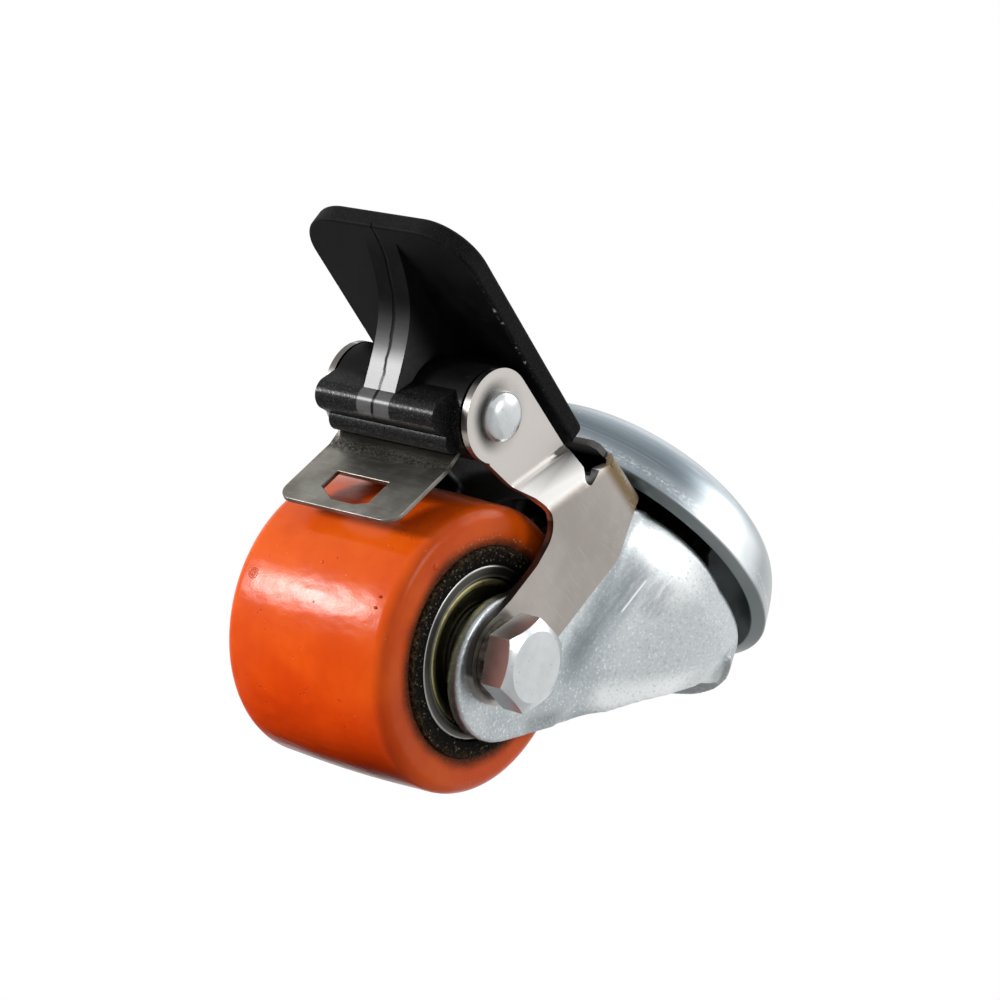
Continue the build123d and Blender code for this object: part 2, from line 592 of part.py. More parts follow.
pedal = plate + rib + hub + lobes + web
pedal -= rod(rivet_r + PIVOT_CLEARANCE, -PEDAL_WIDTH, PEDAL_WIDTH, PIVOT_X, PIVOT_Z)

# brake plate: flat strip held in a slot of the hub, creased, then a sloping tongue with a window
strip_x = PIVOT_X - BRAKE_SET_BACK
crease_z = PIVOT_Z - BRAKE_DROP
slot_top = PIVOT_Z - PEDAL_HUB_RADIUS + 3.0
tongue_angle = radians(14.8)
across = BRAKE_WIDTH / 2
sheet = BRAKE_SHEET
upright = Pos(strip_x, 0, (slot_top + crease_z) / 2) * Box(sheet, BRAKE_WIDTH, slot_top - crease_z)
tongue_plan = Pos(0, -BRAKE_TONGUE / 2) * Rectangle(BRAKE_WIDTH, BRAKE_TONGUE)
tongue_plan = fillet(tongue_plan.vertices().group_by(Axis.Y)[0], BRAKE_CORNER)
window_low = -0.858 * BRAKE_TONGUE
window_top = -0.405 * BRAKE_TONGUE
tongue_plan -= Polygon(
    (-0.485 * across, window_top), (0.394 * across, window_top), (0.394 * across, -0.784 * BRAKE_TONGUE),
    (0.212 * across, window_low), (-0.152 * across, window_low), (-0.485 * across, -0.689 * BRAKE_TONGUE),
    align=None,
)
tongue = extrude(tongue_plan, amount=sheet / 2, both=True)
tongue_plane = Plane(
    origin=(strip_x, 0, crease_z),
    x_dir=(0, 1, 0),
    z_dir=(cos(tongue_angle), 0, sin(tongue_angle)),
)
crease = rod(sheet / 2, -across, across, strip_x, crease_z)
brake_plate = upright + tongue_plane * tongue + crease
keep(brake_plate, "brake_plate")
slot_drop = 4 * PEDAL_HUB_RADIUS
pedal -= Pos(strip_x, 0, slot_top - slot_drop / 2) * Box(sheet, BRAKE_WIDTH, slot_drop)
keep(pedal, "pedal")
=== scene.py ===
import json
import math

import bmesh
import bpy
import numpy as np
from mathutils import Matrix, Vector


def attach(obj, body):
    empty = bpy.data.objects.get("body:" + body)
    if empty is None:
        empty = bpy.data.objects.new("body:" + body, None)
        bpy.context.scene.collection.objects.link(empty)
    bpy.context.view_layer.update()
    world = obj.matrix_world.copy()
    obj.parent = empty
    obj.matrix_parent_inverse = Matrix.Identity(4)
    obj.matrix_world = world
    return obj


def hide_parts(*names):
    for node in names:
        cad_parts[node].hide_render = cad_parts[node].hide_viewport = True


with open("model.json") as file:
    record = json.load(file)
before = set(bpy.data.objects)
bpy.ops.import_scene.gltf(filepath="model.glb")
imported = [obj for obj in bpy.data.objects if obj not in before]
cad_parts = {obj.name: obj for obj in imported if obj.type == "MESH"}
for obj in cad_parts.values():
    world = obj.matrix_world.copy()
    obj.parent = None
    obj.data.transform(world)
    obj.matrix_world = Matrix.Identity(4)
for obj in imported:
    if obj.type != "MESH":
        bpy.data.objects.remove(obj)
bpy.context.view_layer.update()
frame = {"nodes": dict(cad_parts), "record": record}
nodes = frame["nodes"]

# Blender's unit is the metre, and sizes are written in millimetres
MM = 0.001

# Places and sizes that several pieces share
SWIVEL = Vector((0, 0, 0))
AXLE = Vector((33.2, 0, -58.3))
RIVET = Vector((59.6, 0, -28.8))
WHEEL_FOOT = -83.3
HUB_R = 18.0
HUB_SIDE = 18.6
TYRE_SIDE = 18.0
BEARING_R = 15.0
BEARING_BACK = 9.3
BEARING_MIDDLE = 13.8


# Shader maths: a Wire is one socket of a finish, and arithmetic on it adds Math nodes.

class Wire:
    def __init__(self, finish, socket):
        self.finish = finish
        self.socket = socket

    def math(self, operation, *others):
        return self.finish.add("Math", {"operation": operation}, [self, *others])

    def __add__(self, other):
        return self.math("ADD", other)

    __radd__ = __add__

    def __mul__(self, other):
        return self.math("MULTIPLY", other)

    __rmul__ = __mul__

    def __sub__(self, other):
        return self.math("SUBTRACT", other)

    def __rsub__(self, other):
        return self.finish.add("Math", {"operation": "SUBTRACT"}, [other, self])

    def __truediv__(self, other):
        return self.math("DIVIDE", other)

    def __pow__(self, other):
        return self.math("POWER", other)

    def squared(self):
        return self * self

    def high(self, other):
        return self.math("MAXIMUM", other)

    def size(self):
        return self.math("ABSOLUTE")

    def ramp(self, start, end):
        # smooth 0 to 1 between two values, either way round
        return self.finish.add(
            "MapRange",
            {"interpolation_type": "SMOOTHSTEP"},
            {"Value": self, "From Min": start, "From Max": end, "To Min": 0.0, "To Max": 1.0},
        )


class Finish:
    def __init__(self, name, **constants):
        self.material = bpy.data.materials.new(name)
        self.material.use_nodes = True
        self.tree = self.material.node_tree
        self.shader = self.tree.nodes["Principled BSDF"]
        for socket, value in constants.items():
            self.shader.inputs[socket.replace("_", " ")].default_value = value

    def add(self, kind, settings=None, values=None, out=0):
        node = self.tree.nodes.new("ShaderNode" + kind)
        for key, value in (settings or {}).items():
            setattr(node, key, value)
        pairs = values.items() if isinstance(values, dict) else enumerate(values or [])
        for key, value in pairs:
            if isinstance(value, Wire):
                self.tree.links.new(value.socket, node.inputs[key])
            else:
                node.inputs[key].default_value = value
        return Wire(self, node.outputs[out])

    def place(self, centre=(0, 0, 0), turn=(0, 0, 0), stretch=(1, 1, 1)):
        # object coordinates in millimetres, moved, turned and stretched
        here = self.add("TexCoord", out="Object")
        scale = tuple(s / MM for s in stretch)
        shift = self.add("VectorMath", {"operation": "SUBTRACT"}, [here, tuple(c * MM for c in centre)])
        return self.add("Mapping", None, {"Vector": shift, "Rotation": turn, "Scale": scale})

    def xyz(self, centre=(0, 0, 0)):
        parts = self.tree.nodes.new("ShaderNodeSeparateXYZ")
        self.tree.links.new(self.place(centre).socket, parts.inputs[0])
        return [Wire(self, parts.outputs[k]) for k in range(3)]

    def about_axle(self):
        # place seen from the axle, and the distance from its line
        x, y, z = self.xyz(tuple(AXLE))
        return x, y, z, (x * x + z * z) ** 0.5

    def noise(self, vector, scale, detail=3.0, roughness=0.55):
        values = {"Vector": vector, "Scale": scale, "Detail": detail, "Roughness": roughness}
        return self.add("TexNoise", None, values)

    def cells(self, vector, scale):
        return self.add("TexVoronoi", None, {"Vector": vector, "Scale": scale})

    def mix(self, factor, first, second):
        node = self.tree.nodes.new("ShaderNodeMix")
        node.data_type = "RGBA"
        for key, value in ((0, factor), (6, first), (7, second)):
            if isinstance(value, Wire):
                self.tree.links.new(value.socket, node.inputs[key])
            else:
                node.inputs[key].default_value = (*value, 1.0)
        return Wire(self, node.outputs[2])

    def coats(self, tone, *layers):
        # each layer is a mask and the colour that covers the tone where the mask is 1
        for mask, colour in layers:
            tone = self.mix(mask, tone, colour)
        return tone

    def hollow(self):
        # 1 where the mesh is marked as lying inside the part; the finishes paint shade there
        return self.add("Attribute", {"attribute_name": "hollow"}, out="Fac")

    def bump(self, height, depth, under=None):
        # depth in millimetres for a height of 1
        values = {"Height": height, "Strength": 1.0, "Distance": depth * MM}
        if under:
            values["Normal"] = under
        return self.add("Bump", None, values)

    def show(self, **wires):
        for socket, value in wires.items():
            self.tree.links.new(value.socket, self.shader.inputs[socket.replace("_", " ")])
        return self.material


# Finishes. Colours are linear, and distances are millimetres in the part's frame, or from the axle or the
# rivet where a finish takes its place from there.

def zinc_sheet():
    # blue-white plating with a fine sparkle, a dull rubbed streak down each valley that is partly dull zinc
    # and partly a painted dark reflection, grime at the foot of each leg, one bright scratch, painted
    # highlights and painted shade on the crown, and painted shade within
    f = Finish("zinc_sheet", Metallic=1.0)
    here = f.place()
    x, y, z = f.xyz()
    side = y.size()
    cloud = f.noise(here, 0.085, 4.0, 0.6)
    spangle = f.noise(here, 1.9, 3.0, 0.72)
    wipe = f.noise(f.place(turn=(0, 0.07, 0), stretch=(1.2, 0.8, 0.22)), 1.0, 4.0, 0.6)
    off_streak = x - 16.3 - (z + 38.0) * 0.07 + (cloud - 0.5) * 4.0
    streak = off_streak.size().ramp(4.6, 0.2) * (z + 37.0).size().ramp(16.0, 8.0)
    streak = streak * (0.72 + 0.28 * wipe.ramp(0.3, 0.62))
    patch = ((x - 12.5).squared() * 0.07 + (z + 29.0).squared() * 0.05).ramp(1.2, 0.1)
    dull_and_painted_reflection = streak.high(patch * 0.6 * wipe.ramp(0.25, 0.6)) * side.ramp(19.5, 21.0)
    across = (x - 14.5) * 0.707 + (z + 58.5) * 0.707
    along = (x - 14.5) * 0.707 - (z + 58.5) * 0.707
    foot = across.size().ramp(2.6, 0.4) * along.size().ramp(7.0, 2.0)
    foot = foot * (spangle * 0.6 + cloud * 0.5).ramp(0.42, 0.66) * side.ramp(20.5, 21.5)
    scratch = ((x - 14.85) * 0.994 - (z + 31.0) * 0.106).size().ramp(0.20, 0.07)
    scratch = scratch * (z + 31.0).size().ramp(3.8, 3.0) * side.ramp(20.0, 21.0)
    # painted highlight: a bright patch where the crown swells over each flank
    swell = ((x - 14.5).squared() * 0.013 + (z + 23.5).squared() * 0.020).ramp(1.25, 0.15)
    swell = swell * side.ramp(21.5, 24.0)
    # painted highlight along the rounded lower edge of the crown
    painted_edge_highlight = (x + z + 41.0).size().ramp(6.0, 1.0) * side.ramp(21.9, 24.0) * x.ramp(-9.0, -3.0)
    strip = off_streak.ramp(3.0, 5.5) * side.ramp(20.5, 21.5) * z.ramp(-56.0, -50.0)
    # painted shade over the crown's rear lip
    painted_lip_shade = x.ramp(-10.0, -14.0) * z.ramp(-29.5, -26.5)
    tone = f.coats(
        f.mix(cloud.ramp(0.3, 0.7), (0.36, 0.395, 0.41), (0.49, 0.525, 0.54)),
        # painted light: the crown's flanks are painted lighter than the legs
        (side.ramp(22.0, 25.5) * 0.75, (0.62, 0.66, 0.67)),
        (swell * 0.8, (0.80, 0.825, 0.835)),
        (painted_edge_highlight * 0.95, (0.84, 0.87, 0.875)),
        (strip * 0.8, (0.62, 0.66, 0.672)),
        (painted_lip_shade * 0.75, (0.21, 0.235, 0.24)),
        (spangle.ramp(0.54, 0.70) * 0.65, (0.88, 0.91, 0.92)),
        (spangle.ramp(0.46, 0.30) * 0.45, (0.24, 0.27, 0.29)),
        # the valley streak: dull zinc deepened by a painted dark reflection
        (dull_and_painted_reflection * 0.8, (0.20, 0.225, 0.245)),
        (foot * 0.7, (0.09, 0.10, 0.105)),
        (scratch, (0.74, 0.76, 0.77)),
        # painted shade inside the part
        (f.hollow(), (0.022, 0.022, 0.021)),
    )
    rough = 0.27 + 0.12 * spangle + 0.08 * wipe + 0.12 * dull_and_painted_reflection
    return f.show(Base_Color=tone, Roughness=rough, Normal=f.bump(spangle * 0.5 + cloud * 1.2, 0.03))


def dome_zinc():
    # smoother pressed zinc, blue-grey, with a painted dark reflection over the trailing shoulder, painted
    # lighter towards the sides with a painted highlight low on each flank, rubbed along a line above the rim,
    # and painted shade within
    f = Finish("dome_zinc", Metallic=1.0)
    here = f.place()
    x, y, z = f.xyz()
    reach = (x * x + y * y) ** 0.5
    ahead = (x * 0.906 + y.size() * 0.423) / (reach + 0.01)
    cloud = f.noise(here, 0.07)
    fine = f.noise(here, 1.6, 3.0, 0.7)
    drawn = f.noise(f.add("CombineXYZ", None, [ahead * 5.0, 0.0, z * 1.3]), 1.0, 4.0, 0.6)
    pricks = f.cells(here, 0.30)
    # painted highlight low on the dome's flanks
    painted_flank_highlight = ahead.ramp(0.90, 0.72) * ahead.ramp(0.32, 0.52) * z.ramp(-4.5, -8.5)
    # painted dark reflection over the trailing shoulder
    painted_dark_reflection = ahead.ramp(0.70, 0.96) * (z + 7.4).size().ramp(5.0, 1.0)
    rub = (z + 12.3).size().ramp(1.5, 0.2) * fine.ramp(0.42, 0.66) * drawn.ramp(0.35, 0.6)
    tone = f.coats(
        f.mix(cloud.ramp(0.3, 0.7), (0.225, 0.262, 0.288), (0.295, 0.334, 0.36)),
        # painted light: lighter towards the sides
        (ahead.ramp(0.55, 0.25), (0.36, 0.39, 0.40)),
        (painted_flank_highlight * 0.9, (0.74, 0.77, 0.785)),
        (painted_dark_reflection * 0.85, (0.095, 0.12, 0.138)),
        (drawn.ramp(0.52, 0.75) * 0.22, (0.62, 0.66, 0.68)),
        (rub * 0.6, (0.72, 0.75, 0.77)),
        (pricks.ramp(0.05, 0.025) * 0.5, (0.80, 0.83, 0.84)),
        (z.ramp(-14.02, -14.22) * 0.9, (0.19, 0.215, 0.218)),
        # painted shade inside the dome
        (f.hollow(), (0.12, 0.135, 0.138)),
    )
    rough = 0.22 + 0.10 * fine + 0.08 * cloud
    return f.show(Base_Color=tone, Roughness=rough, Normal=f.bump(fine * 0.3 + drawn * 0.3, 0.02))


def bracket_stainless():
    # warm rolled sheet: a painted highlight on the jog, arms painted lighter, brown heat tint on the folded
    # shoulder, fine oblique file marks, grease with a painted shadow round the rivet, and painted shade
    # within and on the cut edges
    f = Finish("bracket_stainless", Metallic=1.0)
    here = f.place()
    x, y, z = f.xyz()
    side = y.size()
    grain = f.noise(f.place(turn=(0, 0.42, 0), stretch=(0.12, 1, 2.2)), 1.8, 4.0, 0.6)
    cloud = f.noise(here, 0.08)
    speck = f.noise(here, 3.0, 2.0, 0.6)
    files = f.noise(f.place(turn=(0, -0.72, 0), stretch=(0.22, 1, 1.6)), 4.2, 2.0)
    # painted highlight along the jog bend
    painted_jog_highlight = side.ramp(22.85, 22.2) * side.ramp(17.4, 18.6) * x.ramp(34.0, 35.5) * z.ramp(-40.0, -38.0)
    tint = z.ramp(-21.6, -19.6) * side.ramp(20.6, 21.6) * (cloud * 0.8 + speck * 0.5).ramp(0.50, 0.66)
    filed = files.ramp(0.56, 0.70) * x.ramp(31.0, 26.5) * z.ramp(-33.0, -24.0) * side.ramp(22.0, 22.8)
    from_rivet_x = x - RIVET.x
    from_rivet_z = z - RIVET.z
    ring = (from_rivet_x.squared() + from_rivet_z.squared()) ** 0.5 + (cloud - 0.5) * 2.0
    below = (from_rivet_x * 0.75 - from_rivet_z * 0.66).ramp(-3.0, 4.0)
    # grease round the rivet together with a painted shadow of its head, heavier on one side
    grease_and_painted_shadow = ring.ramp(7.2, 4.6) * (0.25 + 0.75 * below) * (speck * 0.4 + cloud * 0.6).ramp(0.25, 0.5)
    tone = f.coats(
        f.mix(cloud.ramp(0.3, 0.7), (0.335, 0.305, 0.278), (0.415, 0.38, 0.35)),
        # painted light: the arms are painted lighter than the side plates
        (side.ramp(19.5, 17.2), (0.58, 0.55, 0.52)),
        (grain.ramp(0.52, 0.75) * 0.16, (0.62, 0.59, 0.56)),
        (painted_jog_highlight * 0.85, (0.90, 0.885, 0.865)),
        (speck.ramp(0.66, 0.76) * 0.35, (0.22, 0.20, 0.185)),
        (tint * 0.9, (0.17, 0.11, 0.042)),
        (filed * 0.35, (0.62, 0.59, 0.56)),
        (grease_and_painted_shadow * 0.9, (0.04, 0.036, 0.032)),
        # painted shade inside the part
        (f.hollow(), (0.012, 0.010, 0.009)),
    )
    rough = 0.25 + 0.10 * grain + 0.06 * speck + 0.15 * grease_and_painted_shadow
    return f.show(Base_Color=tone, Roughness=rough, Normal=f.bump(grain + speck * 0.3 + filed * 0.6, 0.006))


def brake_stainless():
    # thin grey-brown plate, pitted and grimy along its crease
    f = Finish("brake_stainless", Metallic=1.0)
    here = f.place()
    z = f.xyz()[2]
    grain = f.noise(f.place(stretch=(1, 0.15, 1)), 1.6, 4.0, 0.6)
    pits = f.noise(here, 1.7, 4.0, 0.75)
    cloud = f.noise(here, 0.16)
    dirt = (z + 40.4).size().ramp(2.2, 0.2) * pits.ramp(0.34, 0.58)
    dirt = dirt.high(pits.ramp(0.60, 0.72) * 0.4)
    tone = f.coats(
        f.mix(cloud.ramp(0.3, 0.72), (0.155, 0.145, 0.125), (0.26, 0.25, 0.225)),
        (grain.ramp(0.5, 0.75) * 0.35, (0.36, 0.35, 0.325)),
        (z.ramp(-41.5, -38.0) * 0.45, (0.085, 0.078, 0.062)),
        (dirt * 0.9, (0.028, 0.024, 0.019)),
    )
    rough = 0.28 + 0.15 * grain + 0.2 * dirt
    return f.show(Base_Color=tone, Roughness=rough, Normal=f.bump(grain * 0.4 - dirt, 0.03))


def ground_steel():
    # turned steel: fine rings about the axle, with painted highlights on the corners of a bearing ring and a
    # painted dark reflection on the face between them
    f = Finish("ground_steel", Metallic=1.0)
    _, y, _, reach = f.about_axle()
    rings = f.noise(f.add("CombineXYZ", None, [reach, y, 0.0]), 2.8)
    cloud = f.noise(f.place(), 0.3)
    # painted highlights on the ring's corners, and a painted dark reflection on its face
    corner = (reach - 14.75).size().ramp(0.3, 0.1)
    face = (reach - 13.85).size().ramp(0.85, 0.45) * y.size().ramp(18.0, 18.25)
    tone = f.coats(
        f.mix(rings, (0.16, 0.155, 0.14), (0.38, 0.37, 0.34)),
        (corner, (0.50, 0.49, 0.47)),
        (face * 0.85, (0.045, 0.042, 0.036)),
        (cloud.ramp(0.52, 0.75) * 0.5, (0.10, 0.09, 0.075)),
    )
    return f.show(Base_Color=tone, Roughness=0.22 + 0.2 * rings, Normal=f.bump(rings, 0.01))


def greased_steel():
    # races and nut of the swivel head, under dark grease
    f = Finish("greased_steel", Metallic=1.0)
    smear = f.noise(f.place(), 0.5, 4.0, 0.65)
    tone = f.mix(smear.ramp(0.4, 0.75), (0.012, 0.011, 0.009), (0.085, 0.08, 0.07))
    return f.show(Base_Color=tone, Roughness=0.25 + 0.25 * smear, Normal=f.bump(smear, 0.03))


def bright_zinc():
    # bright plated fastener, even, with faint clouding and a few small dents
    f = Finish("bright_zinc", Metallic=1.0)
    here = f.place()
    cloud = f.noise(here, 0.22)
    fine = f.noise(here, 2.6)
    dents = f.cells(here, 0.5)
    tone = f.coats(
        f.mix(cloud.ramp(0.3, 0.72), (0.54, 0.565, 0.575), (0.63, 0.655, 0.665)),
        (fine.ramp(0.60, 0.76) * 0.22, (0.38, 0.40, 0.41)),
        (dents.ramp(0.10, 0.05) * 0.5, (0.25, 0.26, 0.265)),
    )
    bump = f.bump(cloud * 0.6 + fine * 0.2, 0.012)
    return f.show(Base_Color=tone, Roughness=0.24 + 0.08 * cloud, Normal=bump)


def dark_washer():
    # dull washers, oily and dark
    f = Finish("dark_washer", Metallic=1.0)
    cloud = f.noise(f.place(), 0.6, 4.0)
    tone = f.mix(cloud.ramp(0.35, 0.7), (0.06, 0.056, 0.05), (0.20, 0.19, 0.17))
    return f.show(Base_Color=tone, Roughness=0.3 + 0.2 * cloud, Normal=f.bump(cloud, 0.02))


def gold_shield():
    # passivated shield, olive gold, with painted shade towards the inner ring, and smears of grease
    f = Finish("gold_shield", Metallic=1.0)
    reach = f.about_axle()[3]
    rings = f.noise(f.add("CombineXYZ", None, [reach, 0.0, 0.0]), 1.7, 2.0)
    cloud = f.noise(f.place(), 0.35, 4.0)
    tone = f.coats(
        f.mix(rings, (0.44, 0.38, 0.16), (0.72, 0.65, 0.33)),
        # painted shade over the inner dish of the shield
        (reach.ramp(11.7, 11.1) * 0.92, (0.030, 0.027, 0.014)),
        ((reach - 12.65).size().ramp(0.28, 0.10), (0.025, 0.022, 0.012)),
        (cloud.ramp(0.52, 0.72) * 0.6, (0.085, 0.072, 0.032)),
    )
    return f.show(Base_Color=tone, Roughness=0.2 + 0.2 * cloud, Normal=f.bump(rings, 0.01))


def hub_black():
    # black moulding with brown and yellowish road dirt packed against the tyre
    f = Finish("hub_black", Specular_IOR_Level=0.05)
    here = f.place()
    reach = f.about_axle()[3]
    grit = f.noise(here, 1.5, 5.0, 0.75)
    crumbs = f.cells(here, 1.6)
    tone = f.coats(
        (0.003, 0.0028, 0.0025),
        (grit.ramp(0.48, 0.74) * reach.ramp(15.2, 16.6), (0.060, 0.046, 0.026)),
        (crumbs.ramp(0.16, 0.06) * grit.ramp(0.54, 0.66) * 0.7, (0.15, 0.125, 0.08)),
        (reach.ramp(16.6, 18.0) * grit.ramp(0.42, 0.62) * 0.6, (0.10, 0.06, 0.026)),
    )
    bump = f.bump(grit + crumbs.ramp(0.3, 0.0), 0.12)
    return f.show(Base_Color=tone, Roughness=0.55 + 0.3 * grit, Normal=bump)


def road_dirt():
    # dry crumbs caught on the hub
    f = Finish("road_dirt", Specular_IOR_Level=0.1)
    here = f.place()
    kind = f.noise(here, 0.9, 2.0)
    fine = f.noise(here, 5.0, 2.0)
    tone = f.mix(kind.ramp(0.42, 0.6), (0.014, 0.012, 0.009), (0.15, 0.125, 0.085))
    return f.show(Base_Color=tone, Roughness=0.75 + 0.2 * fine, Normal=f.bump(fine, 0.03))


def tread_orange():
    # cast tyre, glossy, slightly wavy, pricked with tiny air pits and pale dust, grimy against the hub,
    # with one round mark of the mould
    f = Finish("tread_orange", Specular_IOR_Level=0.19)
    here = f.place()
    x, y, z, reach = f.about_axle()
    cloud = f.noise(here, 0.10)
    wave = f.noise(f.place(stretch=(1, 0.5, 1)), 0.20, 2.0)
    grain = f.noise(here, 2.4)
    pits = f.cells(here, 0.8)
    where = f.noise(here, 0.15, 2.0)
    dust = f.cells(f.place(centre=(3.1, 1.7, 0.4)), 0.36)
    pitted = pits.ramp(0.18, 0.08) * where.ramp(0.53, 0.63) * reach.ramp(24.0, 24.4)
    rim_dirt = (reach + (cloud - 0.5) * 1.6).ramp(20.6, 18.1) * y.size().ramp(17.0, 17.9)
    arc = (reach - 19.5).size().ramp(0.55, 0.15) * grain.ramp(0.55, 0.68)
    arc = arc * z.ramp(4.0, 9.0) * y.ramp(17.5, 17.9)
    from_mark = ((x - 23.5).squared() + (y + 13.7).squared() + (z + 8.4).squared()) ** 0.5
    mark = (from_mark - 0.85).size().ramp(0.28, 0.08).high((from_mark - 0.3).size().ramp(0.25, 0.08))
    tone = f.coats(
        f.mix(cloud.ramp(0.3, 0.7), (0.65, 0.072, 0.0024), (0.74, 0.100, 0.0042)),
        (pitted * 0.5, (0.30, 0.018, 0.0015)),
        (dust.ramp(0.045, 0.025) * 0.7, (0.80, 0.42, 0.22)),
        (rim_dirt * (0.8 + 0.2 * grain.ramp(0.4, 0.6)), (0.034, 0.015, 0.006)),
        (arc * 0.8, (0.78, 0.36, 0.17)),
        (mark * 0.5, (0.34, 0.02, 0.002)),
    )
    rough = 0.20 + 0.10 * grain + 0.5 * rim_dirt
    bump = f.bump(grain * 0.18 - pitted - mark, 0.08, under=f.bump(wave, 0.22))
    return f.show(Base_Color=tone, Roughness=rough, Normal=bump)


def pedal_black():
    # moulded black plastic: smooth under the plate, spark-eroded grain on the outer edges and the rolls,
    # nicked along its border, with a mould seam down a polished rib that is painted lighter grey as a sheen,
    # patchy with scuffs
    f = Finish("pedal_black", Specular_IOR_Level=0.07, Coat_Roughness=0.24)
    here = f.place()
    x, y, z = f.xyz(tuple(RIVET))
    side = y.size()
    grain = f.noise(here, 3.4, 3.0, 0.7)
    cloud = f.noise(here, 0.16, 4.0, 0.6)
    scuff = f.noise(f.place(turn=(0, 0, 0.5), stretch=(1, 0.2, 1)), 0.9, 4.0, 0.7)
    worn = f.noise(here, 1.1).ramp(0.58, 0.68)
    wander = f.noise(f.place(stretch=(1, 0.2, 1)), 0.35)
    across = (side - 9.0).high(0.0)
    ahead = (x - 23.2).high(0.0)
    rim = (across * across + ahead * ahead) ** 0.5
    border = rim.ramp(8.15, 8.75) * z.ramp(8.6, 9.4)
    rolls = z.ramp(-2.0, -4.5)
    coarse = border.high(rolls * 0.55).high(z.ramp(12.0, 13.0) * 0.6)
    nick = rim.ramp(8.2, 8.6) * rim.ramp(9.0, 8.7) * (z - 9.9).size().ramp(0.6, 0.15) * worn
    seam = (y + (wander - 0.5) * 0.9).size().ramp(0.42, 0.12) * x.ramp(2.0, 5.0) * z.ramp(12.0, 10.8)
    rib = side.ramp(3.75, 3.35) * x.ramp(6.5, 8.0) * z.ramp(7.0, -1.0) * (1 - seam)
    tone = f.coats(
        f.mix(cloud.ramp(0.35, 0.75), (0.0022, 0.0022, 0.0026), (0.0055, 0.0055, 0.006)),
        (border * grain.ramp(0.46, 0.76), (0.020, 0.021, 0.022)),
        (rolls * grain.ramp(0.50, 0.74), (0.050, 0.051, 0.053)),
        (scuff.ramp(0.62, 0.78) * 0.3, (0.03, 0.03, 0.032)),
        (nick, (0.30, 0.30, 0.30)),
        (seam * 0.9, (0.001, 0.001, 0.001)),
        # painted sheen: the rib is painted lighter grey, patchy with scuffs
        (rib * (0.35 + 0.65 * scuff) * 0.6, (0.19, 0.19, 0.192)),
    )
    rib_shine = rib * (0.05 + 0.26 * z.ramp(1.5, -2.0))
    shine = rib_shine.high(rolls * (0.10 + 0.25 * grain.ramp(0.45, 0.7)))
    rough = 0.40 + 0.22 * coarse + 0.12 * cloud
    bump = f.bump(coarse * grain * 0.8 + scuff * 0.1 - seam * 1.6, 0.16)
    return f.show(Base_Color=tone, Roughness=rough, Coat_Weight=shine, Normal=bump)


GREASED = greased_steel()
BRIGHT = bright_zinc()
WASHER = dark_washer()
DIRT = road_dirt()
TREAD = tread_orange()

by_slot = {
    "zinc_sheet": zinc_sheet(),
    "steel": ground_steel(),
    "zinc_fastener": BRIGHT,
    "stainless": bracket_stainless(),
    "brake_stainless": brake_stainless(),
    "shield": gold_shield(),
    "black_hub": hub_black(),
    "black_pedal": pedal_black(),
    "tread": TREAD,
}
by_node = {"top_housing": dome_zinc(), "spring_washer": WASHER, "nut_washer": WASHER}
for node in ("upper_race", "crown_race", "crown_under_race", "lower_race", "king_nut"):
    by_node[node] = GREASED
slot_of = {part["node"]: part["material_slot"] for part in frame["record"]["subparts"]}
finish_of = {node: by_node.get(node, by_slot[slot]) for node, slot in slot_of.items()}
body_of = {node: body for body, members in frame["record"]["behaviour"]["bodies"].items() for node in members}


def wear(piece, material):
    piece.data.materials.clear()
    piece.data.materials.append(material)


for node, finish in finish_of.items():
    wear(nodes[node], finish)


# Ways to make a piece

def new_piece(name, mesh):
    piece = bpy.data.objects.new(name, mesh)
    bpy.context.scene.collection.objects.link(piece)
    return piece


def settle(piece):
    # live modifiers become plain mesh
    bpy.context.view_layer.update()
    solid = bpy.data.meshes.new_from_object(piece.evaluated_get(bpy.context.evaluated_depsgraph_get()))
    piece.modifiers.clear()
    piece.data = solid
    return piece


def stand_in(piece, node):
    # the piece shows in place of the CAD node, with its finish and on its body
    wear(piece, finish_of[node])
    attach(piece, body_of[node])
    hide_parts(node)


def merged_mesh(node, join_flat=False):
    # a copy of the CAD node's mesh with doubled points merged and, where asked, flat faces joined
    within_metres = 2e-6
    mesh = nodes[node].data.copy()
    shape = bmesh.new()
    shape.from_mesh(mesh)
    bmesh.ops.remove_doubles(shape, verts=shape.verts, dist=within_metres)
    if join_flat:
        flat = math.radians(0.7)
        bmesh.ops.dissolve_limit(shape, angle_limit=flat, verts=shape.verts, edges=shape.edges)
    shape.to_mesh(mesh)
    shape.free()
    return mesh


def soft_edges(node, width, segments=2):
    # the CAD node's own shape, with its sharp edges broken as a press or mould leaves them
    mesh = merged_mesh(node, join_flat=True)
    piece = new_piece(node + "_finished", mesh)
    bevel = piece.modifiers.new("broken_edges", "BEVEL")
    bevel.width = width * MM
    bevel.segments = segments
    bevel.limit_method = "ANGLE"
    bevel.angle_limit = math.radians(28)
    even = piece.modifiers.new("even_faces", "WEIGHTED_NORMAL")
    even.keep_sharp = True
    mesh.shade_smooth()
    settle(piece)
    stand_in(piece, node)
    return piece


